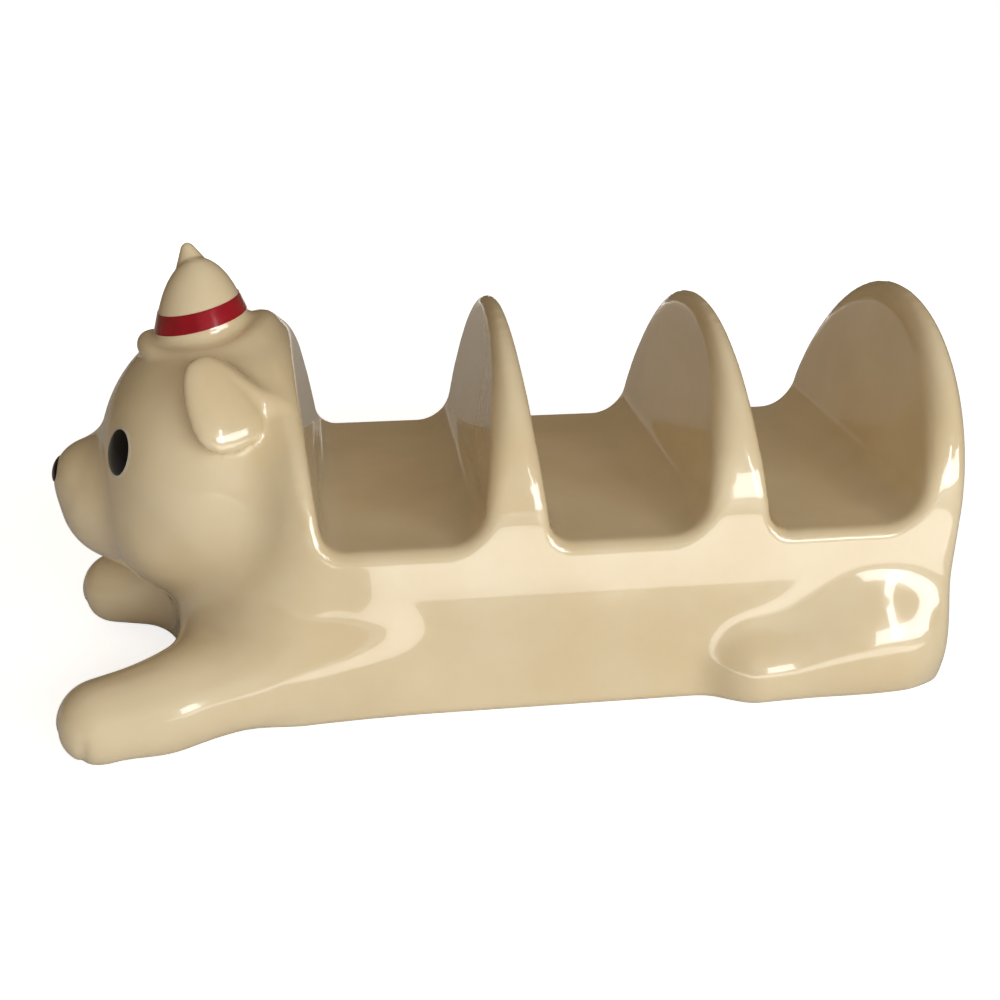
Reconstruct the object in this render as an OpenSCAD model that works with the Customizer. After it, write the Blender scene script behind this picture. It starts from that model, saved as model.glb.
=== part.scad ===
// Taco holder in the form of a lying dog, cast in one piece.
// Millimetres. X runs along the body with the head at -X, Y runs across it, Z is up.
// The body is one skin over a blended form: the trunk is an arch profile crossed with the
// outline of the three slots, and the head, hat, ears, legs and haunches flow into it.

/* [Slots] */

// Distance from one slot to the next
pitch = 64; // [60:0.5:70]
// Width of a slot at its floor
slot_w = 44; // [40:0.5:46]
// Height of the slot floors above the table
floor_h = 54; // [50:0.5:58]
// How far a slot wall moves out for each millimetre of height
wall_lean = 0.13; // [0.08:0.01:0.14]
// Fillet at the foot of the wall nearer the head
fillet_front = 6; // [4:0.5:8]
// Fillet at the foot of the wall nearer the tail
fillet_back = 10; // [7:0.5:12]

/* [Trunk] */

// Width of the trunk across the slots
trunk_w = 114; // [106:1:120]
// Height of the arches above the slot floors
arch_h = 58.5; // [54:0.5:64]
// Thickness of the wall behind the last slot, at its foot
rear_w = 17.5; // [15:0.5:20]
// How much lower the arch at the nape is than the others
nape_drop = 9.5; // [7:0.5:11]
// Rounding along the rims and the arches
rim_r = 6; // [4:0.5:7]
// Rounding along the rim at the nape
nape_r = 9.5; // [7:0.5:10]
// Rounding of the upright edges of the rump
rump_r = 9; // [6:1:12]
// Rounding around the foot of the body
foot_r = 4; // [3:0.5:6]

/* [Head] */

// Length of the head ball from face to nape
head_l = 72; // [66:1:78]
// Width of the head ball
head_w = 92; // [84:1:98]
// Height of the head ball
head_h = 84; // [78:1:90]
// Height of the centre of the head above the table
head_z = 64; // [60:1:68]
// Distance that the muzzle stands out from the first slot
muzzle_x = 79; // [76:0.5:82]
// Width of the muzzle
muzzle_w = 43; // [38:1:48]
// Height of the muzzle
muzzle_h = 42.5; // [39:0.5:46]
// Length of a front paw, from its centre back to the shoulder
arm_l = 61; // [54:1:66]
// Radius of a front paw
paw_r = 12; // [10:0.5:13]

/* [Hat] */

// Radius of the crown at its foot
crown_r = 13.9; // [13:0.1:14.5]
// Height of the crown from foot to tip
crown_h = 22; // [20:0.5:24]
// Radius of the brim
brim_r = 20; // [19:0.5:22]
// Tilt of the hat towards the face
hat_tilt = 12; // [8:1:15]

/* [Hidden] */

// The first slot starts a little behind the origin that the skin is worked out from.
slot_at = 1.5;
slot_mid = slot_at + slot_w / 2;
trunk_l = 2 * pitch + slot_at + slot_w + rear_w;
half_w = trunk_w / 2;
mid = [(trunk_l - muzzle_x) / 2, -4, 0];
face_x = 14.5 - muzzle_x;
ball_x = face_x + head_l / 2;
head_top = head_z + head_h / 2;
ear_y = head_w / 2 - 8.5;
ear_x = ball_x + 5.2;
ear_z = head_top - 13.4;

// Blends of two fields: a smooth union, and an overlap with a true round edge.
function soft(a, b, k) = let (h = max(k - abs(a - b), 0)) min(a, b) - h * h / (4 * k);
function edge(a, b, r) = min(max(a, b), -r) + norm([max(a + r, 0), max(b + r, 0)]);

// Fields of an egg, of a limb that tapers from a to b, and of an ellipse.
function egg(p, c, r) =
    let (q = [(p.x - c.x) / r.x, (p.y - c.y) / r.y, (p.z - c.z) / r.z],
         s = [q.x / r.x, q.y / r.y, q.z / r.z], n = norm(q))
    n < 0.01 ? -min(r) : n * (n - 1) / norm(s);
function limb(p, a, b, ra, rb) =
    let (d = b - a, t = max(0, min(1, (p - a) * d / (d * d))))
    norm(p - a - t * d) - ra - (rb - ra) * t;
function oval(u, v, a, b) =
    let (n = norm([u / a, v / b]))
    n < 0.01 ? -min(a, b) : n * (n - 1) / norm([u / (a * a), v / (b * b)]);

// The cross-section of the trunk: straight sides below the slot floors and an arch above them.
function arch(p) = p.z < floor_h ? abs(p.y) - half_w
    : oval(p.y, p.z - floor_h, half_w, arch_h - (p.x < slot_mid ? nape_drop : 0));

// Where the two walls of a slot stand at height z.
function rise(z) = wall_lean * max(0, z - floor_h);
function wall_front(s, z) = s * pitch + slot_at - rise(z);
function wall_back(s, z) = s * pitch + slot_at + slot_w + rise(z);
function rump(z) = trunk_l + 0.02 * max(0, z - floor_h);

function slot(p, s) =
    let (f = wall_front(s, p.z) - p.x, b = p.x - wall_back(s, p.z))
    edge(floor_h - p.z, f > b ? f : b, f > b ? fillet_front : fillet_back);

// The trunk as it would be with no slots, from the nape back to the rump.
function trunk(p) = edge(edge(arch(p), p.x - rump(p.z), rump_r), -24 - p.x, 10);

// Cuts the slots that lie near p out of the field f.
function slotted(p, f) =
    let (s = max(0, min(2, round((p.x - slot_mid) / pitch))), x = p.x - s * pitch - slot_mid,
         r = s > 0 ? rim_r : rim_r + (nape_r - rim_r) * max(0, min(1, 2 - p.x / 6)),
         one = edge(f, -slot(p, s), r))
    s < 2 && x > slot_w / 3 ? edge(one, -slot(p, s + 1), rim_r)
        : s > 0 && x < -slot_w / 3 ? edge(one, -slot(p, s - 1), rim_r) : one;

function haunch(p) =
    let (q = [p.x, abs(p.y), p.z])
    soft(limb(q, [trunk_l - 63, half_w - 2, 9.5], [trunk_l - 19, half_w - 6, 12], 13, 15),
         egg(q, [trunk_l - 23, half_w - 15, 26], [27, 20.5, 26]), 6);

function ball(p) = soft(egg(p, [ball_x, 0, head_z], [head_l, head_w, head_h] / 2),
    egg(p, [face_x + 21, 0, head_z - 14], [21, head_w / 2 - 9, 24]), 8);
function muzzle(p) = soft(egg(p, [19.5 - muzzle_x, 0, head_z - 10.2], [19.5, muzzle_w / 2, muzzle_h / 2]),
    egg(p, [8 - muzzle_x, 0, head_z - 4], [8.3, 11, 9]), 5);
function neck(p) = soft(egg(p, [-12, 0, 34], [32, half_w - 7, 38]),
    egg(p, [-20, 2, 12], [29, half_w - 17, 24]), 10);

// The near leg splays out. The far one lies under the chin and is wide at the chest.
function arms(p) = min(
    limb(p, [-arm_l, -half_w - 8, paw_r], [0, 10 - half_w, 16], paw_r, 17),
    limb(p, [-arm_l - 6.5, 17, paw_r], [0, half_w - 23, 18], paw_r, 18),
    limb(p, [-arm_l - 6.5, 17, paw_r], [-14, 3, 19], paw_r, 18));

// Behind each ear and under the hat the skin swells, so that they grow out of the head.
function ear_root(p) = egg([p.x, abs(p.y), p.z], [ear_x + 6, ear_y - 5, ear_z - 2], [9, 7, 12]);
function hat_root(p) = egg(p, [ball_x + 1.5, 0, head_top - 11], [21, 20, 9]);

// The whole skin. Past the nape only the trunk and the haunches can be near.
function form(p) =
    let (t = trunk(p),
         all = p.x < slot_mid ? soft(soft(soft(soft(t, neck(p), 14), ball(p), 10), muzzle(p), 6), arms(p), 12)
             : p.x < trunk_l / 2 ? t : edge(soft(t, haunch(p), 5), p.x - trunk_l - 1, 8),
         top = p.x > 4 || p.z < head_z + 6 ? all : soft(soft(all, ear_root(p), 6), hat_root(p), 6))
    edge(slotted(p, top), -p.z, foot_r);

// Grid lines. Between two knots they keep their share of the way, so they lean with the walls.
nape_x = -18.5;
reach = max(muzzle_x, arm_l + 6.5 + paw_r) + 5.5 + nape_x;
head_x = [for (n = [15 : -1 : 0]) nape_x - n * reach / 15];
share_wall = [0.3, 0.6, 0.85];
share_slot = [0.05, 0.15, 0.5, 0.76, 0.88, 0.96];
share_mid = [0.2, 0.5, 0.8];
share_rear = [0.3, 0.6, 0.85, 1.3];
line_y = concat([for (f = [0.06, 0.19, 0.32, 0.45, 0.58, 0.7, 0.81, 0.89, 0.945, 1.035]) f * half_w],
    [for (d = [7, 13, paw_r + 9]) half_w + d]);
line_z = concat([-1.5, 2.5], [for (f = [0.15, 0.28, 0.42, 0.555, 0.695, 0.815, 0.907, 0.97]) f * floor_h],
    [for (f = [0.038, 0.11, 0.2, 0.31, 0.43, 0.55, 0.67, 0.78, 0.87, 0.94, 1.04, 1.25]) floor_h + f * arch_h]);

tags = concat([for (x = head_x) [-1, x]], [for (f = share_wall) [0, f]],
    [for (s = [0 : 2]) each concat([for (f = share_slot) [1 + 2 * s, f]],
        [for (f = s < 2 ? share_mid : share_rear) [2 + 2 * s, f]])]);

function knot(n, z) = n == 0 ? nape_x : n == 7 ? rump(z)
    : n % 2 == 1 ? wall_front((n - 1) / 2, z) : wall_back((n - 2) / 2, z);
function line_x(t, z) = t[0] < 0 ? t[1] : knot(t[0], z) * (1 - t[1]) + knot(t[0] + 1, z) * t[1];

// In the trunk the lines across the body follow the arch.
function bent(y, z) =
    let (u = min(1, abs(y) / half_w), v = max(0, min(1, (z - floor_h) / arch_h)), s = sign(y))
    [s * (half_w * u * sqrt(1 - v * v / 2) + max(0, abs(y) - half_w)),
     z < floor_h ? z : floor_h + arch_h * v * sqrt(1 - u * u / 2) + max(0, z - floor_h - arch_h)];

ys = concat([for (n = [len(line_y) - 1 : -1 : 0]) -line_y[n]], line_y);
nx = len(tags);
ny = len(ys);
nz = len(line_z);

function place(i, y, z) =
    let (w = max(0, min(1, (i - 11) / 6)), b = bent(y, z),
         yy = y + (b[0] - y) * w, zz = z + (b[1] - z) * w)
    [line_x(tags[i], zz), yy, zz];

grid = [for (i = [0 : nx - 1]) [for (y = ys) [for (z = line_z) place(i, y, z)]]];
val = [for (i = [0 : nx - 1])
    let (sym = grid[i][0][0].x > slot_mid + 1, h = ny / 2,
         far = [for (j = [sym ? h : 0 : ny - 1]) [for (p = grid[i][j]) form(p)]])
    sym ? concat([for (n = [h - 1 : -1 : 0]) far[n]], far) : far];

corners = [for (a = [0, 1]) for (b = [0, 1]) for (c = [0, 1]) [a, b, c]];
sides = [for (a = corners) for (d = [[1, 0, 0], [0, 1, 0], [0, 0, 1]]) if (a * d == 0) [a, a + d]];

function mixed(i, j, k) =
    let (n = (val[i][j][k] < 0 ? 1 : 0) + (val[i][j][k + 1] < 0 ? 1 : 0)
           + (val[i][j + 1][k] < 0 ? 1 : 0) + (val[i][j + 1][k + 1] < 0 ? 1 : 0)
           + (val[i + 1][j][k] < 0 ? 1 : 0) + (val[i + 1][j][k + 1] < 0 ? 1 : 0)
           + (val[i + 1][j + 1][k] < 0 ? 1 : 0) + (val[i + 1][j + 1][k + 1] < 0 ? 1 : 0))
    n > 0 && n < 8;

cells = [for (i = [0 : nx - 2]) for (j = [0 : ny - 2]) for (k = [0 : nz - 2])
    if (mixed(i, j, k)) [i, j, k]];

function cross(e, c) =
    let (a = e[0] + c, b = e[1] + c, u = val[a.x][a.y][a.z], v = val[b.x][b.y][b.z])
    (u < 0) == (v < 0) ? undef
    : let (p = grid[a.x][a.y][a.z], q = grid[b.x][b.y][b.z]) p + (q - p) * (u / (u - v));
function total(list, n = 0) = n == len(list) - 1 ? list[n] : list[n] + total(list, n + 1);
function start(c) = let (e = [for (s = sides) let (x = cross(s, c)) if (!is_undef(x)) x])
    total(e) / len(e);
function settle(p, n) = n == 0 ? p
    : let (f = form(p), h = 0.05,
           g = [form(p + [h, 0, 0]) - f, form(p + [0, h, 0]) - f, form(p + [0, 0, h]) - f] / h,
           m = max(0.05, g * g), d = max(-2, min(2, f / sqrt(m))))
      settle(p - g * (d / sqrt(m)), n - 1);

points = [for (c = cells) settle(start(c), 2)];

// The number of each cell that holds a point of the skin.
order = [for (n = 0, c = 0; c < (nx - 1) * (ny - 1) * (nz - 1);
    n = n + (n < len(cells) && key(cells[n]) == c ? 1 : 0), c = c + 1) n];
function key(c) = (c.x * (ny - 1) + c.y) * (nz - 1) + c.z;
function id(i, j, k) = order[key([i, j, k])];

function quad(a, b, c, d, flip) = flip ? [d, c, b, a] : [a, b, c, d];

// The flat foot of the trunk is closed by one strip for each pair of lines across it.
foot_a = 22;
foot_b = nx - 4;
side_a = 5;
side_b = ny - 6;
function in_foot(i, j) = i >= foot_a && i <= foot_b && j > side_a && j < side_b;
function strip(i, n) = [for (j = n > 0 ? [side_a : side_b - 1] : [side_b - 1 : -1 : side_a]) id(i, j, 0)];
function ends(list) = [list[0], list[len(list) - 1]];
foot = [for (i = [foot_a : foot_b])
    let (front = strip(i - 1, -1), back = strip(i, 1))
    i == foot_a ? concat(ends(back), front) : i == foot_b ? concat(ends(front), back)
    : concat(ends(back), ends(front))];

faces = concat(
    [for (i = [0 : nx - 2]) for (j = [1 : ny - 2]) for (k = [1 : nz - 2])
        let (a = val[i][j][k] < 0, b = val[i + 1][j][k] < 0)
        if (a != b) quad(id(i, j - 1, k - 1), id(i, j - 1, k), id(i, j, k), id(i, j, k - 1), b)],
    [for (i = [1 : nx - 2]) for (j = [0 : ny - 2]) for (k = [1 : nz - 2])
        let (a = val[i][j][k] < 0, b = val[i][j + 1][k] < 0)
        if (a != b) quad(id(i - 1, j, k - 1), id(i, j, k - 1), id(i, j, k), id(i - 1, j, k), b)],
    [for (i = [1 : nx - 2]) for (j = [1 : ny - 2]) for (k = [0 : nz - 2])
        let (a = val[i][j][k] < 0, b = val[i][j][k + 1] < 0)
        if (a != b && (k > 0 || !in_foot(i, j)))
            quad(id(i - 1, j - 1, k), id(i - 1, j, k), id(i, j, k), id(i, j - 1, k), b)],
    foot);

module skin() polyhedron(points, faces, convexity = 8);

// The brim is a roll around a trough. It sags at both sides of the head, and more on the far one.
roll = 3;
brim_side = concat([[brim_r - 5, -9]],
    [for (a = [-70 : 20 : 130]) [brim_r - roll + roll * cos(a), roll * sin(a) - 3.2]],
    [[brim_r - 5.8, -1.7], [crown_r - 2, -1]]);
function sag(a, r) = (a < 180 ? 7 : 4) * pow(sin(a), 2) * max(0, min(1, (r - crown_r) / 1.1));

module brim() {
    step = 10;
    turns = 360 / step;
    m = len(brim_side);
    under = turns * m;
    points = concat([for (n = [0 : turns - 1]) for (q = brim_side)
        [q.x * cos(n * step), q.x * sin(n * step), q.y - sag(n * step, q.x)]], [[0, 0, -9], [0, 0, -1]]);
    faces = [for (n = [0 : turns - 1]) let (a = n * m, b = (n + 1) % turns * m)
        each concat([[under, b, a], [a + m - 1, b + m - 1, under + 1]],
            [for (k = [0 : m - 2]) [a + k, b + k, b + k + 1, a + k + 1]])];
    polyhedron(points, [for (f = faces) [for (n = [len(f) - 1 : -1 : 0]) f[n]]]);
}

// The crown stands in the trough as a dome of slices that leans back, with a small tip on its far side.
dome_h = 0.82 * crown_h;
function dome_r(u) = crown_r * (1 - 0.45 * u) * sqrt(1 - pow(u, 4));

module disc(h, r) translate([0.17 * h, 0, h]) cylinder(r = r, h = 0.01, $fn = 32);

module crown() {
    at = [0, 0.25, 0.45, 0.63, 0.78, 0.9, 0.97];
    for (n = [0 : len(at) - 2]) hull()
        for (u = [at[n], at[n + 1]]) disc(dome_h * u - (u > 0 ? 0 : 3), dome_r(u));
    hull() {
        translate([1.5, 3.5, crown_h / 2]) sphere(6.5, $fn = 20);
        translate([1.6, 4.5, crown_h - 2]) sphere(2.1, $fn = 14);
    }
}

module hat()
    translate([ball_x - 3.1, 0, head_top + 1.2]) rotate([2, -hat_tilt, 0]) {
        brim();
        crown();
    }

// An ear lies open to the front and grows out of the head behind. The far one sits a little lower.
module ear(side)
    translate([ear_x, side * ear_y, ear_z - (side > 0 ? 3 : 0)])
        rotate([0, 0, side * 24]) rotate([side * 28, 0, 0]) rotate([0, -12, 0]) hull() {
            scale([11.7, 4.7, 13.8]) sphere(1, $fn = 22);
            translate([3, -side * 3, 0]) scale([8, 5, 10]) sphere(1, $fn = 14);
        }

module nose()
    hull() for (side = [-1, 1])
        translate([2.2 - muzzle_x, 1.6 * side, head_z - 2]) scale([3.2, 3.6, 3.8]) sphere(1, $fn = 16);

module taco_holder()
    color([0.93, 0.85, 0.66]) translate(-mid) {
        skin();
        hat();
        ear(1);
        ear(-1);
        nose();
    }

taco_holder();
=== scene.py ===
# %% [markdown]
# # A taco holder in the form of a lying dog
#
# The real thing is one ceramic casting under a pale, glossy glaze. A lying dog with a small pointed
# hat carries three slots across its back, and a folded taco stands in each of them.
#
# The solid of the casting comes from the frame, with its true size and place. This file gives it the
# skin that a glazed casting has: smooth, without facets, with soft creases where one form meets the
# next. Then come the painted places (eyes, nose and hat band), the glaze, the light and the camera.

# %% Load the frame
import math

import bpy
import numpy as np
from mathutils import Matrix, Vector


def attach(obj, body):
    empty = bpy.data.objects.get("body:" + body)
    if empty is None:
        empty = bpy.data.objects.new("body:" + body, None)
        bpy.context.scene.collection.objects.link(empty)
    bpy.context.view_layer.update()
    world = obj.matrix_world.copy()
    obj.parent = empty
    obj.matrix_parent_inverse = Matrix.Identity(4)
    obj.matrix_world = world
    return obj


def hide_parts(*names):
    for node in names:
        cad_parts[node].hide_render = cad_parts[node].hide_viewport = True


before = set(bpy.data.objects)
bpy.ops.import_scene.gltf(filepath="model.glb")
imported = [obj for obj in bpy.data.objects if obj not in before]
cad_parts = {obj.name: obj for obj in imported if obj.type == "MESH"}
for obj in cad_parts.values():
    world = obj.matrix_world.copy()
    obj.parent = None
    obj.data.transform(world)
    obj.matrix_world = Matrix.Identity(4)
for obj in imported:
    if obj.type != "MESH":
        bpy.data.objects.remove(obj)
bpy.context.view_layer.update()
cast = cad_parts["taco_holder"]

# %% [markdown]
# ## Small helpers
#
# Operators act on whatever is selected, so each step starts by selecting exactly one object. Sizes in
# this file are in millimetres, because that is how a potter would measure the piece. Blender works in
# metres, so MM turns one into the other.

# %% Helpers for selecting and shaping
MM = 0.001


def only(obj):
    """Makes obj the one selected and active object, in object mode."""
    if bpy.context.object and bpy.context.object.mode != "OBJECT":
        bpy.ops.object.mode_set(mode="OBJECT")
    bpy.ops.object.select_all(action="DESELECT")
    obj.select_set(True)
    bpy.context.view_layer.objects.active = obj
    return obj


def edit_all(obj, operator, **settings):
    """Runs one edit-mode operator on the whole mesh of obj."""
    only(obj)
    bpy.ops.object.mode_set(mode="EDIT")
    bpy.ops.mesh.select_all(action="SELECT")
    operator(**settings)
    bpy.ops.object.mode_set(mode="OBJECT")


def apply_modifier(obj, kind, **settings):
    """Adds a modifier, gives it its settings and applies it."""
    only(obj)
    modifier = obj.modifiers.new(kind.lower(), kind)
    for name, value in settings.items():
        setattr(modifier, name, value)
    bpy.ops.object.modifier_apply(modifier=modifier.name)


def rest_in_place(obj):
    """Moves an object's place, turn and scale into its mesh."""
    only(obj)
    bpy.ops.object.transform_apply(location=True, rotation=True, scale=True)


def smooth(obj, degrees=None):
    """Shades an object smooth, with creases kept above an angle if one is given."""
    only(obj)
    if degrees is None:
        bpy.ops.object.shade_smooth()
    else:
        bpy.ops.object.shade_smooth_by_angle(angle=math.radians(degrees))


def read_points(obj):
    """The points of a mesh, one row each, in metres."""
    points = np.empty(len(obj.data.vertices) * 3)
    obj.data.vertices.foreach_get("co", points)
    return points.reshape(-1, 3)


def write_points(obj, points):
    """Puts the points of a mesh at new places, in metres."""
    obj.data.vertices.foreach_set("co", points.ravel())
    obj.data.update()


# %% [markdown]
# ## The form of the casting
#
# A mould maker thinks of this piece as simple forms that flow into each other: a trunk with an arched
# back, a ball for the head, a muzzle, a chest, legs and haunches. Each form here is a function that
# tells how far a point is from its surface: less than zero inside, more than zero outside. The smooth
# union `soft` pours one form into the next with a fillet, and `edge` rounds the corner where two forms
# cut each other. The values started as those of the solid and were refined against the photograph. So
# the skin follows the solid, apart from places around the head where it leaves it by up to 8 mm: at the
# ears, which are turned outwards, and behind the cheeks, where the end of the trunk is drawn back.
#
# Modelling these blends by hand would need thousands of hand-placed points. A formula gives the same
# soft skin with no dents, which matters, because a gloss glaze shows every dent.

# %% Blends and basic forms
TINY = 1e-3


def soft(a, b, k):
    """Joins two forms with a fillet; k is how close they get before it starts."""
    h = np.maximum(k - np.abs(a - b), 0)
    return np.minimum(a, b) - h * h / (4 * k)


def edge(a, b, r):
    """What two forms share, with their common corner rounded to the radius r."""
    return np.minimum(np.maximum(a, b), -r) + np.hypot(np.maximum(a + r, 0), np.maximum(b + r, 0))


def ease(t):
    """A smooth step from 0 to 1 while t runs from 0 to 1."""
    t = np.clip(t, 0, 1)
    return t * t * (3 - 2 * t)


def egg(p, centre, radii):
    """A ball stretched to three radii."""
    q = (p - centre) / radii
    n = np.maximum(np.linalg.norm(q, axis=1), TINY)
    return n * (n - 1) / np.maximum(np.linalg.norm(q / radii, axis=1), 1e-4)


def limb(p, a, b, ra, rb):
    """A rounded rod from a to b whose radius runs from ra to rb."""
    a, b = np.array(a, float), np.array(b, float)
    length = np.linalg.norm(b - a)
    ahead, taper = (b - a) / length, (rb - ra) / length
    along = (p - a) @ ahead
    aside = np.sqrt(np.maximum(((p - a) ** 2).sum(1) - along ** 2, 0))
    s = np.clip(along + aside * taper / math.sqrt(1 - taper ** 2), 0, length)
    return np.hypot(along - s, aside) - ra - taper * s


def oval(u, v, a, b):
    """A flat oval with the half axes a and b."""
    n = np.maximum(np.hypot(u / a, v / b), TINY)
    return n * (n - 1) / np.maximum(np.hypot(u / (a * a), v / (b * b)), 1e-5)


# %% [markdown]
# ### Trunk and slots
#
# The back is an arch whose sides drop straight to the table. Each slot is as wide as a folded taco at
# its floor and opens a little towards the top, so that the piece left its mould. Its two floor fillets
# differ, and its rims are rounded by the glaze.

# %% Trunk and slots
PITCH, SLOT_W, FLOOR_H, WALL_LEAN = 64, 44, 54, 0.13
FILLET_FRONT, FILLET_BACK = 6, 10
TRUNK_W, ARCH_H, NAPE_DROP, TRUNK_L = 114, 58.5, 9.5, 191
RIM_LOW, RIM_R, RUMP_R, FOOT_R = 3.2, 6, 9, 4
RIM_GROWS_FROM, RIM_GROWS_OVER = 60, 30
SLOT_START, RUMP_LEAN = 1.5, 0.02
NAPE_SKEW, NAPE_SKEW_FROM = 0.012, -45
CHEST_X, CHEST_R, CHEEK_ROOM = -25, 20, 8
HALF_W = TRUNK_W / 2


def trunk(p):
    """The arched back. Its front end makes room for the cheeks."""
    x, y, z = p.T
    high = ARCH_H - np.where(x < SLOT_W / 2, NAPE_DROP, 0)
    arch = np.where(z < FLOOR_H, np.abs(y) - HALF_W, oval(y, z - FLOOR_H, HALF_W, high))
    rump = x - TRUNK_L - RUMP_LEAN * np.maximum(0, z - FLOOR_H)
    room = CHEEK_ROOM * ease((np.abs(y) - 20) / 24) * ease((z - 22) / 40)
    return edge(edge(arch, rump, RUMP_R), room + CHEST_X - x, CHEST_R)


def slot(p, s):
    """Slot number s, counted from the head. The wall behind the head is a little askew."""
    x, y, z = p.T
    rise = WALL_LEAN * np.maximum(0, z - FLOOR_H)
    skew = 0 if s else NAPE_SKEW * np.maximum(0, y - NAPE_SKEW_FROM)
    front = s * PITCH + SLOT_START - rise - x - skew
    back = x - (s * PITCH + SLOT_START + SLOT_W + rise)
    return np.where(front > back, edge(FLOOR_H - z, front, FILLET_FRONT),
                    edge(FLOOR_H - z, back, FILLET_BACK))


def slotted(p, f):
    """A form with the three slots cut out of it. Their rims get wider towards the top."""
    rim = RIM_LOW + (RIM_R - RIM_LOW) * ease((p[:, 2] - RIM_GROWS_FROM) / RIM_GROWS_OVER)
    for s in range(3):
        f = edge(f, -slot(p, s), rim)
    return f


# %% [markdown]
# ### Head, legs and haunches
#
# The near front leg splays outwards, and the far one lies under the chin. Each haunch is a long, low
# swelling on the flank. The haunches, and later the ears, are drawn once and mirrored: the near side's
# place across the body is turned positive before the form is measured.

# %% Head, legs and haunches
HEAD_L, HEAD_W, HEAD_H, HEAD_Z = 72, 92, 84, 64
MUZZLE_X, MUZZLE_W, MUZZLE_H = 78.4, 43, 41
ARM_L, PAW_R = 61, 12
FACE_X = -64.5
BALL_X = FACE_X + HEAD_L / 2
HEAD_TOP = HEAD_Z + HEAD_H / 2
NEAR_PAW = np.array([-ARM_L, -HALF_W - 8, PAW_R])
FAR_PAW = np.array([-ARM_L - 6.5, 17, PAW_R])
HIND_PAW, HIND_HEEL = [TRUNK_L - 63, HALF_W - 3.5, 9.5], [TRUNK_L - 19, HALF_W - 6.5, 12]
HIND_PAW_R, HIND_HEEL_R = 13, 15
THIGH_AT, THIGH_SIZE = [TRUNK_L - 27, HALF_W - 14.4, 21], [25, 21, 20]
NEAR_SHOULDER, NEAR_SHOULDER_R = [14, 15 - HALF_W, 18], 15.5
FAR_SHOULDER, FAR_SHOULDER_R = [0, HALF_W - 23, 18], 18


def both_sides(p):
    """The points with those of the near side mirrored to the far side."""
    return p * [1, 0, 1] + np.abs(p) * [0, 1, 0]


def haunch(p):
    """The hind leg along the table and the thigh above it, on both sides."""
    q = both_sides(p)
    leg = limb(q, HIND_PAW, HIND_HEEL, HIND_PAW_R, HIND_HEEL_R)
    return soft(leg, egg(q, THIGH_AT, THIGH_SIZE), 14)


def arms(p):
    """Both front legs, filled up on the inside towards the chest."""
    near = limb(p, NEAR_PAW, NEAR_SHOULDER, PAW_R, NEAR_SHOULDER_R)
    far = limb(p, FAR_PAW, FAR_SHOULDER, PAW_R, FAR_SHOULDER_R)
    inner = limb(p, FAR_PAW, [-14, 3, 19], PAW_R, FAR_SHOULDER_R)
    elbow = limb(p, [-45, -61, 11], [-18, -20, 18], 9, 17)
    return soft(soft(near, elbow, 9), np.minimum(far, inner), 5)


def neck(p):
    """The neck above and the chest below."""
    upper = egg(p, [-12, 0, 34], [32, HALF_W - 7, 38])
    lower = egg(p, [-20, 2, 12], [29, HALF_W - 17, 24])
    return soft(upper, lower, 10)


def head(p):
    """The ball of the head with its cheeks, and the muzzle apart, for a tighter fillet."""
    ball = egg(p, [BALL_X, 0, HEAD_Z], np.array([HEAD_L, HEAD_W, HEAD_H]) / 2)
    cheek = egg(p, [FACE_X + 21, 0, HEAD_Z - 14], [21, HEAD_W / 2 - 9, 24])
    muzzle = egg(p, [19.5 - MUZZLE_X, 0, HEAD_Z - 11.2], [19.5, MUZZLE_W / 2, MUZZLE_H / 2])
    snout = egg(p, [8 - MUZZLE_X, 0, HEAD_Z - 4], [8.3, 11, 9])
    return soft(ball, cheek, 8), soft(muzzle, snout, 5)


# %% [markdown]
# ### Hat and ears
#
# The hat sits low and tilts towards the face. Its brim is a roll around a trough and sags at both
# sides of the head. The crown is a dome that leans back, and its small tip stands behind it. The ears
# are turned outwards in front, where they stand off the head with a crisp edge, and melt into it
# behind. The photograph hides the far ear fully, so it must hang lower than the near one.

# %% Hat and ears
CROWN_R, DOME_H, LEAN, BRIM_R, ROLL, HAT_TILT = 13.9, 18, 0.17, 20, 3, 12
HAT_FOOT = np.array([BALL_X - 3.1, 0, HEAD_TOP + 1.2])
EAR_AT = np.array([BALL_X + 3.9, HEAD_W / 2 - 7.2, HEAD_TOP - 12.4])
EAR_SIZE = np.array([9.6, 4.3, 13.8])
FAR_EAR_DROP = 6
EAR_POWER, EAR_TAPER = 2.5, 0.25
CROWN_TAPER, BRIM_DROP, BRIM_DIP = 0.45, 3.2, 3.2


def turn_about(axis, degrees):
    """The matrix that turns by an angle about one axis."""
    c, s = math.cos(math.radians(degrees)), math.sin(math.radians(degrees))
    a, b = [(1, 2), (2, 0), (0, 1)]["XYZ".index(axis)]
    m = np.eye(3)
    m[a, a], m[a, b], m[b, a], m[b, b] = c, -s, s, c
    return m


HAT_TURN = turn_about("Y", -HAT_TILT) @ turn_about("X", 2)
EAR_TURN = turn_about("Z", -30) @ turn_about("X", 33) @ turn_about("Y", -7)


def crown_radius(h):
    """How wide the crown is at a height above its foot."""
    u = np.clip(h / DOME_H, 0, 0.995)
    return CROWN_R * (1 - CROWN_TAPER * u) * np.sqrt(1 - u ** 4)


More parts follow.
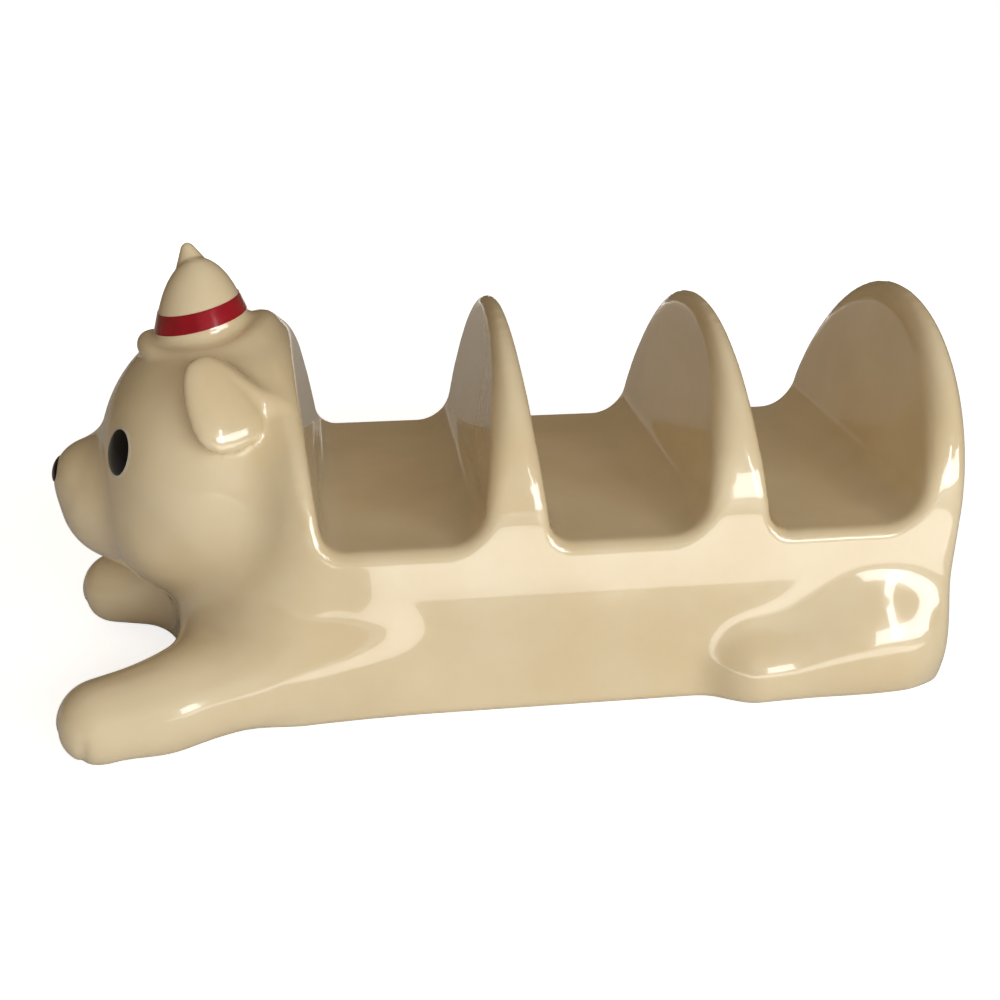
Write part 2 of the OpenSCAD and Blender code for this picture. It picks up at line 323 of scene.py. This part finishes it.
def hat(p):
    """The brim with its trough, and the crown apart, for a tighter fillet."""
    q = (p - HAT_FOOT) @ HAT_TURN
    x, y, z = q.T
    rho = np.maximum(np.hypot(x, y), TINY)
    sag = np.where(y > 0, 7, 4) * (y / rho) ** 2 + BRIM_DIP * np.clip(x / rho, 0, 1)
    brim = (np.hypot(rho - BRIM_R + ROLL, z + BRIM_DROP + sag) - ROLL) * 0.9
    out = np.clip((rho - CROWN_R + 0.5) / 3.6, 0, 1)
    pan = np.maximum(np.maximum(rho - BRIM_R + ROLL, z + 0.8 + (sag + 2.2) * out), -9 - z) * 0.7
    u = np.maximum(z / DOME_H, -0.3)
    wide = CROWN_R * (1 - CROWN_TAPER * np.clip(u, 0, 1))
    n = np.sqrt((np.hypot(x - LEAN * z, y) / wide) ** 2 + np.clip(u, 0, 2) ** 4)
    crown = np.maximum((n - 1) * wide * 0.8, -4 - z)
    tip = limb(q, [1.7, 3.5, 11.5], [1.9, 4.3, 19.7], 6, 2.1)
    return soft(brim, pan, 1.5), soft(crown, tip, 0.5)


def ear_reach(q):
    """How far points lie from the middle of an ear: 1 is on its surface. Its outline is squarish."""
    flat = (np.abs(q[:, 0]) ** EAR_POWER + np.abs(q[:, 2]) ** EAR_POWER) ** (1 / EAR_POWER)
    return np.maximum(np.hypot(flat, q[:, 1]), TINY)


def ears(p):
    """Both ears, and how far towards its root at the back each point of an ear lies."""
    q = both_sides(p) - EAR_AT
    q[:, 2] += np.where(p[:, 1] > 0, FAR_EAR_DROP, 0)
    q = q @ EAR_TURN / EAR_SIZE
    q[:, 0] /= 1 - EAR_TAPER * np.clip(q[:, 2], -1, 1)
    n = ear_reach(q)
    shape = n * (n - 1) / np.maximum(np.linalg.norm(q / EAR_SIZE, axis=1), 1e-4)
    return shape, q[:, 0] * 8 + q[:, 2] * 8


# %% [markdown]
# ### All of it together
#
# The fillets between the forms are as wide as on the real piece: generous at the neck and the legs,
# tight at the muzzle, and hardly there in front of the ears. Two lines between the toes are pressed
# into the lower half of each front paw.
#
# `settle` is what lays a mesh on this form. It reads the slope of the form at each point and moves the
# point along it, again and again, until the distance is zero.

# %% The whole form
NECK_FILLET, HEAD_FILLET, MUZZLE_FILLET, ARM_FILLET, HAUNCH_FILLET = 14, 10, 6.5, 12, 9
FRONT_PART_END, HEAD_PART_END = 60, 10
TOE_DEEP, TOE_WIDE = 1.1, 1.1
TOE_TURNS = ((NEAR_PAW, (255, 200)), (FAR_PAW, (155, 205)))


def toe_lines(p):
    """How deep the two lines between the toes press into the front of each paw."""
    depth = np.zeros(len(p))
    for paw, turns in TOE_TURNS:
        for turn in turns:
            c, s = math.cos(math.radians(turn)), math.sin(math.radians(turn))
            q = p - paw
            ahead, aside = q[:, 0] * c + q[:, 1] * s, q[:, 1] * c - q[:, 0] * s
            aside = aside + 0.03 * (q[:, 2] - 2) ** 2
            line = np.exp(-(aside / TOE_WIDE) ** 2) * np.clip((ahead - 4) / 4, 0, 1)
            depth = np.maximum(depth, TOE_DEEP * line * np.clip((4 - q[:, 2]) / 6, 0, 1))
    return depth


def form(p):
    """The distance of points, in slot millimetres, from the surface of the whole casting."""
    x, y, z = p.T
    behind_hat = egg(p, [-12, 0, 89], [17, 26, 15.5])
    back = soft(trunk(p), behind_hat, 6)
    ball, muzzle = head(p)
    front = soft(soft(back, neck(p), NECK_FILLET), ball, HEAD_FILLET)
    front = soft(soft(front, muzzle, MUZZLE_FILLET), arms(p), ARM_FILLET)
    rear = edge(soft(back, haunch(p), HAUNCH_FILLET), x - TRUNK_L - 1, 8)
    f = np.where(x > FRONT_PART_END, rear, front)
    brim, crown = hat(p)
    f = soft(f, brim, 1.2 + 5 * ease((x + 28) / 16))
    f = np.where(x < HEAD_PART_END, soft(f, crown, 0.7), f)
    ear, root = ears(p)
    f = np.where(x < HEAD_PART_END, soft(f, ear, 1.2 + 10 * ease((root - 1) / 9)), f)
    f = slotted(p, f)
    return edge(f + toe_lines(p), -z, FOOT_R)


SLOPE_STEP = 0.05


def rises(points, f):
    """How much the form rises over a small step along each axis, from its value f at the points."""
    return np.stack([form(points + SLOPE_STEP * np.eye(3)[a]) - f for a in range(3)], 1)


def settle(points, steps):
    """Moves points, in slot millimetres, onto the surface of the form."""
    for _ in range(steps):
        f = form(points)
        slope = rises(points, f) / SLOPE_STEP
        size = np.maximum((slope ** 2).sum(1), 0.05)
        move = np.clip(f / np.sqrt(size), -1.5, 1.5) / np.sqrt(size)
        points = points - slope * move[:, None]
    return points


# %% [markdown]
# ## The skin
#
# A copy of the solid is merged and remeshed with small, even faces. A remesh gives a mesh that can be
# smoothed anywhere, where the solid's long facets can't. The ears of this file are turned outwards more
# than the solid's, so two balls drawn out to their form are joined to the copy first. Otherwise the
# points there would be stretched thin, and the edge of the ear would come out ragged.
#
# The points then settle on the form above, and a little smoothing between spreads them evenly. All of
# that is done twice, because the second remesh starts from a skin that is nearly right. The head has
# the finest detail, so its faces are divided once more.

# %% Remesh a copy of the casting
VOXEL, MERGE = 1.5, 0.005
SLOT_ORIGIN = np.array([56, -4, 0])
EVEN_OUT = 0.5


def settle_mesh(obj, steps):
    """Lays a mesh on the form. The form is measured from the first slot, the frame from the middle."""
    on_form = settle(read_points(obj) / MM + SLOT_ORIGIN, steps)
    write_points(obj, (on_form - SLOT_ORIGIN) * MM)


body = bpy.data.objects.new("glazed_body", cast.data.copy())
bpy.context.scene.collection.objects.link(body)
body.data.materials.clear()
edit_all(body, bpy.ops.mesh.remove_doubles, threshold=MERGE * MM)


def ear_solid(side):
    """A ball drawn out to the form of one ear, so that the remesh has something to work on there."""
    bpy.ops.object.select_all(action="DESELECT")
    bpy.ops.mesh.primitive_uv_sphere_add(segments=48, ring_count=32, radius=1)
    ball = bpy.context.object
    unit = read_points(ball)
    unit = unit / ear_reach(unit)[:, None]
    unit[:, 0] *= 1 - EAR_TAPER * np.clip(unit[:, 2], -1, 1)
    points = EAR_AT + (unit * EAR_SIZE) @ EAR_TURN.T
    points = points * [1, side, 1] - [0, 0, FAR_EAR_DROP if side > 0 else 0]
    write_points(ball, (points - SLOT_ORIGIN) * MM)
    if side < 0:
        edit_all(ball, bpy.ops.mesh.flip_normals)
    return ball


ear_solids = [ear_solid(-1), ear_solid(1)]
only(body)
for ball in ear_solids:
    ball.select_set(True)
bpy.ops.object.join()
for _ in range(2):
    apply_modifier(body, "REMESH", mode="VOXEL", voxel_size=VOXEL * MM)
    settle_mesh(body, 5)
    apply_modifier(body, "SMOOTH", factor=EVEN_OUT, iterations=4)
    settle_mesh(body, 3)
print("the remeshed skin has", len(body.data.polygons), "faces")

# %% Divide the faces of the head
HEAD_BACK, HEAD_LOW = -4, 52

only(body)
bpy.ops.object.mode_set(mode="EDIT")
bpy.ops.mesh.select_all(action="DESELECT")
bpy.ops.object.mode_set(mode="OBJECT")
for face in body.data.polygons:
    at = Vector(SLOT_ORIGIN) + face.center / MM
    face.select = at.x < HEAD_BACK and at.z > HEAD_LOW
bpy.ops.object.mode_set(mode="EDIT")
bpy.ops.mesh.subdivide(number_cuts=1)
bpy.ops.object.mode_set(mode="OBJECT")
settle_mesh(body, 3)
apply_modifier(body, "SMOOTH", factor=EVEN_OUT, iterations=2)
smooth(body)
print("the finished skin has", len(body.data.polygons), "faces")

# %% [markdown]
# ## A class for shader maths
#
# Materials here are built from nodes, and long chains of nodes are hard to read. The class `Wire`
# wraps one output socket, so that `1 - mask * 0.3` adds the Math nodes by itself. The class `Finish`
# makes a material and any other node in it.

# %% Wires and finishes
class Wire:
    """One output of a shader node, with which sums can be written."""

    def __init__(self, finish, socket):
        self.finish, self.socket = finish, socket

    def math(self, operation, first, second):
        node = self.finish.node("ShaderNodeMath", {"operation": operation}, {0: first, 1: second})
        return Wire(self.finish, node.outputs[0])

    def __add__(self, other):
        return self.math("ADD", self, other)

    def __sub__(self, other):
        return self.math("SUBTRACT", self, other)

    def __rsub__(self, other):
        return self.math("SUBTRACT", other, self)

    def __mul__(self, other):
        return self.math("MULTIPLY", self, other)

    __radd__, __rmul__ = __add__, __mul__


class Finish:
    """A material and the making of its nodes."""

    def __init__(self, name):
        self.material = bpy.data.materials.new(name)
        self.material.use_nodes = True
        self.tree = self.material.node_tree
        self.shader = self.tree.nodes["Principled BSDF"]

    def node(self, kind, settings=None, sockets=None):
        made = self.tree.nodes.new(kind)
        for name, value in (settings or {}).items():
            setattr(made, name, value)
        for name, value in (sockets or {}).items():
            self.feed(made.inputs[name], value)
        return made

    def feed(self, socket, value):
        """Links a wire to an input, or sets the input to a plain value."""
        if isinstance(value, Wire):
            self.tree.links.new(value.socket, socket)
        else:
            socket.default_value = value

    def wire(self, node, output=0):
        return Wire(self, node.outputs[output])

    def surface(self, **values):
        """Sets inputs of the main shader by name, with _ for each space in the name."""
        for name, value in values.items():
            self.feed(self.shader.inputs[name.replace("_", " ")], value)

    def place(self):
        """Where a point lies on the object, in metres."""
        return self.wire(self.node("ShaderNodeTexCoord"), "Object")

    def noise(self, size_mm, detail=2.0, roughness=0.5):
        """Soft noise whose lumps are about size_mm wide."""
        node = self.node("ShaderNodeTexNoise", {}, {
            "Vector": self.place(), "Scale": 1 / (size_mm * MM), "Detail": detail, "Roughness": roughness})
        return self.wire(node, 0)

    def ramp(self, value, low, high):
        """0 below low, 1 above high, and smooth between."""
        node = self.node("ShaderNodeMapRange", {"interpolation_type": "SMOOTHSTEP"},
                         {"Value": value, "From Min": low, "From Max": high})
        return self.wire(node, 0)

    def mix(self, factor, first, second):
        """The first colour where the factor is 0, and the second where it is 1."""
        node = self.node("ShaderNodeMix", {"data_type": "RGBA"}, {"Factor": factor})
        self.feed(node.inputs[6], first)
        self.feed(node.inputs[7], second)
        return self.wire(node, 2)

    def bump(self, height, distance_mm):
        """Tilts the surface as if the height stood out of it by up to distance_mm."""
        node = self.node("ShaderNodeBump", {}, {"Height": height, "Distance": distance_mm * MM})
        return self.wire(node, 0)

    def put_on(self, obj):
        obj.data.materials.clear()
        obj.data.materials.append(self.material)


def srgb(red, green, blue):
    """A screen colour, 0 to 255, turned into the linear values that Blender uses."""
    return tuple(((c / 255 + 0.055) / 1.055) ** 2.4 for c in (red, green, blue)) + (1.0,)


# %% [markdown]
# ## The glaze
#
# A cream glaze over a white body is glossy all over. Where it ran thick it is a shade deeper, and
# where it ran thin a shade paler, in wide, soft patches with a fine grain over them. Its surface isn't
# quite flat: wide, shallow waves bend the reflections. The clear coat gives the sharp window
# reflections on top of a softer sheen.

# %% Cream glaze
CREAM, CREAM_DEEP = srgb(233, 214, 177), srgb(221, 197, 153)
PATCH_MM, GRAIN_MM = 38, 2.2
WIDE_WAVE_MM, SMALL_WAVE_MM, WAVE_DEEP_MM = 30, 9, 0.9
COAT_ROUGHNESS = 0.03

glaze = Finish("cream_glaze")
runs = glaze.ramp(glaze.noise(PATCH_MM, 3.0), 0.35, 0.7)
fine = glaze.ramp(glaze.noise(GRAIN_MM, 2.0), 0.3, 0.75)
colour = glaze.mix(runs * 0.55 + fine * 0.06, CREAM, CREAM_DEEP)
waves = glaze.noise(WIDE_WAVE_MM, 1.0) + glaze.noise(SMALL_WAVE_MM, 1.0) * 0.12
glaze.surface(Base_Color=colour, Roughness=0.16 + fine * 0.05, IOR=1.5, Coat_Weight=1.0,
              Coat_Roughness=COAT_ROUGHNESS, Coat_IOR=1.5, Normal=glaze.bump(waves, WAVE_DEEP_MM))
glaze.put_on(body)

# %% [markdown]
# ## The hat band
#
# The band is painted around the foot of the crown. A painted band is as thin as its glaze, so it is
# made as a short open tube that hugs the crown: each of its points is laid on the crown and stands a
# hair proud of it.

# %% Hat band
BAND_LOW, BAND_HIGH, BAND_PROUD, BAND_THICK = 0.2, 5.3, 0.18, 0.6
HAT_PLACE = Matrix.Translation(Vector(HAT_FOOT - SLOT_ORIGIN) * MM) @ Matrix(HAT_TURN.tolist()).to_4x4()

bpy.ops.object.select_all(action="DESELECT")
bpy.ops.mesh.primitive_cylinder_add(
    vertices=128, radius=CROWN_R * MM, depth=(BAND_HIGH - BAND_LOW) * MM,
    end_fill_type="NOTHING", location=(0, 0, (BAND_HIGH + BAND_LOW) / 2 * MM))
band = bpy.context.object
band.name = "hat_band"
rest_in_place(band)
edit_all(band, bpy.ops.mesh.subdivide, number_cuts=6)


def hug_crown(point):
    """Puts a point of the tube on the crown, which narrows and leans back as it rises."""
    height = point.z / MM
    radius = float(crown_radius(height)) + BAND_PROUD
    turn = math.atan2(point.y, point.x)
    return Vector((radius * math.cos(turn) + LEAN * height, radius * math.sin(turn), height)) * MM


for vertex in band.data.vertices:
    vertex.co = HAT_PLACE @ hug_crown(vertex.co)
apply_modifier(band, "SOLIDIFY", thickness=BAND_THICK * MM, offset=-1)
smooth(band, 40)

CRIMSON, CRIMSON_DEEP = srgb(164, 5, 32), srgb(118, 2, 24)
crimson = Finish("crimson_glaze")
streaks = crimson.ramp(crimson.noise(6, 3.0), 0.3, 0.75)
crimson.surface(Base_Color=crimson.mix(streaks * 0.6, CRIMSON, CRIMSON_DEEP), Roughness=0.18,
                Coat_Weight=1.0, Coat_Roughness=COAT_ROUGHNESS,
                Normal=crimson.bump(crimson.noise(7, 1.0), 0.12))
crimson.put_on(band)

# %% [markdown]
# ## Eyes and nose
#
# Both are drops of black glaze. A drop follows the skin that it sits on, stands a little proud of it
# and has a rounded edge. So each one starts as a ball with its lower part cut away, and its points are
# laid over the skin. A thin pale line runs around each eye. It is a painted highlight: a wider,
# flatter drop in a paler colour, for the light that the edge of each eye catches.

# %% Black drops
CUT_AT = -0.3


def ways_out(points):
    """The direction out of the skin at each point on it."""
    slope = rises(points, form(points))
    return slope / np.linalg.norm(slope, axis=1)[:, None]


def drop(name, at, wide, high, proud, tilt=0):
    """A drop of glaze on the skin. It stands proud by so many mm, and tilts by so many degrees."""
    centre = settle(np.array([at], float), 6)
    out = Vector(ways_out(centre)[0])
    level = Vector((0, 0, 1)).cross(out).normalized()
    across = Matrix.Rotation(math.radians(tilt), 3, out) @ level
    upward = out.cross(across)
    bpy.ops.object.select_all(action="DESELECT")
    bpy.ops.mesh.primitive_uv_sphere_add(segments=64, ring_count=32, radius=1)
    ball = bpy.context.object
    ball.name = name
    edit_all(ball, bpy.ops.mesh.bisect, plane_co=(0, 0, CUT_AT), plane_no=(0, 0, 1),
             clear_inner=True, use_fill=True)
    unit = read_points(ball)
    to_side = unit[:, :1] * np.array(across) * wide / 2
    to_top = unit[:, 1:2] * np.array(upward) * high / 2
    on_skin = settle(centre + to_side + to_top, 8)
    points = on_skin + ways_out(on_skin) * unit[:, 2:] * proud
    write_points(ball, (points - SLOT_ORIGIN) * MM)
    smooth(ball, 50)
    return ball


EYE_X, EYE_Y, EYE_Z, EYE_TILT = -56, 28.4, 77, 8
EYE_WIDE, EYE_HIGH, RING_WIDE, RING_HIGH = 12.4, 13.7, 14, 15.3
NOSE_AT, NOSE_WIDE, NOSE_HIGH = (1 - MUZZLE_X, -0.5, HEAD_Z - 2), 13.5, 7.6
DROP_PROUD, RING_PROUD = 0.7, 0.25
SIDES = (("near", -1), ("far", 1))

eyes = [drop(f"eye_{name}", (EYE_X, side * EYE_Y, EYE_Z), EYE_WIDE, EYE_HIGH, DROP_PROUD, side * EYE_TILT)
        for name, side in SIDES]
# The pale rings are painted highlights: each is a wider, flatter drop around an eye, for the light on its
# edge.
highlight_rings = [drop(f"eye_highlight_ring_{name}", (EYE_X, side * EYE_Y, EYE_Z), RING_WIDE, RING_HIGH, RING_PROUD,
              side * EYE_TILT)
         for name, side in SIDES]
nose = drop("nose", NOSE_AT, NOSE_WIDE, NOSE_HIGH, DROP_PROUD)

black = Finish("black_glaze")
black.surface(Base_Color=srgb(14, 14, 16), Roughness=0.2, Specular_IOR_Level=0.1, Coat_Weight=0.25,
              Coat_Roughness=0.04, Normal=black.bump(black.noise(4, 1.0), 0.08))
# The colour of the pale line is a painted highlight, paler than the cream glaze, for the light on the edge
# of each eye.
line = Finish("painted_highlight_line")
line.surface(Base_Color=line.mix(line.noise(2, 1.0), srgb(226, 216, 196), srgb(206, 194, 170)),
             Roughness=0.2, Coat_Weight=1.0, Coat_Roughness=0.04)
for piece in eyes + [nose]:
    black.put_on(piece)
for piece in highlight_rings:
    line.put_on(piece)

# %% [markdown]
# ## Where each piece belongs
#
# Nothing on the holder moves, so every piece rides on the one body of the frame. The skin stands for
# the casting's solid, which is then hidden.

# %% Ride on the frame
for piece in [body, band, nose] + eyes + highlight_rings:
    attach(piece, "root")
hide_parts("taco_holder")

# %% [markdown]
# ## Floor, light and camera
#
# The photograph has a plain white background. The floor is a little off white close to the holder,
# where it catches a soft shadow, and pure white further out. It glows only for the camera, so it adds
# no light to the holder. The world works the same way: white for the camera, and a weak, warm fill for
# everything else, as from the walls of a room.

# %% Floor and surroundings
bpy.ops.object.select_all(action="DESELECT")
bpy.ops.mesh.primitive_plane_add(size=6)
floor = bpy.context.object
floor.name = "floor"
NEAR_WHITE, FAR_WHITE = 0.78, 1.0
NEAR_M, FAR_M = 0.16, 0.42
NO_LIGHT = (0, 0, 0, 1)
paper = Finish("white_paper")
seen = paper.wire(paper.node("ShaderNodeLightPath"), "Is Camera Ray")
length = paper.node("ShaderNodeVectorMath", {"operation": "LENGTH"}, {0: paper.place()})
away = paper.ramp(paper.wire(length, "Value"), NEAR_M, FAR_M)
white = paper.mix(away, (NEAR_WHITE,) * 3 + (1,), (FAR_WHITE,) * 3 + (1,))
paper.surface(Base_Color=(0.8, 0.8, 0.8, 1), Roughness=0.9, Specular_IOR_Level=0.0,
              Emission_Color=paper.mix(seen, NO_LIGHT, white), Emission_Strength=1.0)
paper.put_on(floor)

WARM_FILL, FILL_STRENGTH = (1.0, 0.75, 0.47, 1), 0.155
world = bpy.data.worlds.new("room")
bpy.context.scene.world = world
world.use_nodes = True
tree = world.node_tree
room = tree.nodes["Background"]
room.inputs["Color"].default_value = WARM_FILL
room.inputs["Strength"].default_value = FILL_STRENGTH
backdrop = tree.nodes.new("ShaderNodeBackground")
backdrop.inputs["Color"].default_value = (1, 1, 1, 1)
path = tree.nodes.new("ShaderNodeLightPath")
choose = tree.nodes.new("ShaderNodeMixShader")
tree.links.new(path.outputs["Is Camera Ray"], choose.inputs[0])
tree.links.new(room.outputs[0], choose.inputs[1])
tree.links.new(backdrop.outputs[0], choose.inputs[2])
tree.links.new(choose.outputs[0], tree.nodes["World Output"].inputs["Surface"])

# %% [markdown]
# ### Lamps
#
# A gloss glaze shows a lamp twice: as light on its colour, and as a bright shape mirrored in its coat.
# Here the two are set apart, so that each can be matched to the photograph.
#
# - `window` and `window_pane` are only mirrored. They give the curved streaks on the haunch, the rims
#   and the ear.
# - `daylight` only lights. It is the soft light from the camera's side and a little to its right, which
#   leaves the face and the slots in shade.
# - `card` is the bright table top in front of the holder, mirrored as the wide glow along its flank.
# - `ceiling` is a weak, warm light from above.
# - `far_side` lights the side that the photograph doesn't show, for a look from behind.

# %% Lamps
def lamp(name, at, aim, wide, high, power, colour, lights=True, mirrored=True):
    """A soft rectangular lamp at a place, turned towards another. All in millimetres."""
    at, aim = Vector(at) * MM, Vector(aim) * MM
    turn = (aim - at).to_track_quat("-Z", "Y").to_euler()
    bpy.ops.object.light_add(type="AREA", location=at, rotation=turn)
    made = bpy.context.object
    made.name = name
    made.data.shape = "RECTANGLE"
    made.data.size, made.data.size_y = wide * MM, high * MM
    made.data.energy, made.data.color = power, colour
    made.visible_diffuse, made.visible_glossy = lights, mirrored
    return made


COOL, PANE_COOL, TABLE_WARM = (0.93, 0.97, 1.0), (0.96, 0.98, 1.0), (1.0, 0.98, 0.95)
CEILING_WARM, FAR_WARM = (1.0, 0.85, 0.66), (1.0, 0.95, 0.88)
MIDDLE = (0, 0, 60)

lamp("window", (800, -890, 190), MIDDLE, 1000, 300, 6, COOL, lights=False)
lamp("window_pane", (636, -1018, 310), MIDDLE, 110, 460, 1.4, PANE_COOL, lights=False)
lamp("daylight", (330, -1010, 370), (-20, 0, 60), 1200, 500, 10, COOL, mirrored=False)
card = lamp("card", (100, -227, 2), (100, -227, 100), 280, 207, 0.47, TABLE_WARM, lights=False)
card.visible_camera = False
lamp("ceiling", (-100, 100, 1200), (0, 0, 0), 1200, 1200, 1.0, CEILING_WARM)
lamp("far_side", (150, 1050, 140), (0, 0, 50), 900, 300, 3, FAR_WARM, mirrored=False)

# %% [markdown]
# ### Camera
#
# The camera stands where the one of the photograph stood. Its place, angles and lens come from a fit
# to the photograph, with the distance from slot to slot as the measure.

# %% Camera
CAMERA_AT = Vector((-48.8, -361.1, 202.1)) * MM
AZIMUTH, DROP, ROLL_TURN = math.radians(7.931), math.radians(23.156), math.radians(0.405)
LENS_MM, SENSOR_MM = 44.46, 36

level_part = math.cos(DROP)
ahead = Vector((math.sin(AZIMUTH) * level_part, math.cos(AZIMUTH) * level_part, -math.sin(DROP)))
level_right = ahead.cross(Vector((0, 0, 1))).normalized()
level_up = level_right.cross(ahead)
right = level_right * math.cos(ROLL_TURN) + level_up * math.sin(ROLL_TURN)
up = level_up * math.cos(ROLL_TURN) - level_right * math.sin(ROLL_TURN)
turn = Matrix((right, up, -ahead)).transposed()
bpy.ops.object.camera_add(location=CAMERA_AT, rotation=turn.to_euler())
camera = bpy.context.object
camera.data.lens, camera.data.sensor_width = LENS_MM, SENSOR_MM
camera.data.clip_start = 10 * MM
scene = bpy.context.scene
scene.camera = camera
scene.view_settings.view_transform = "Standard"
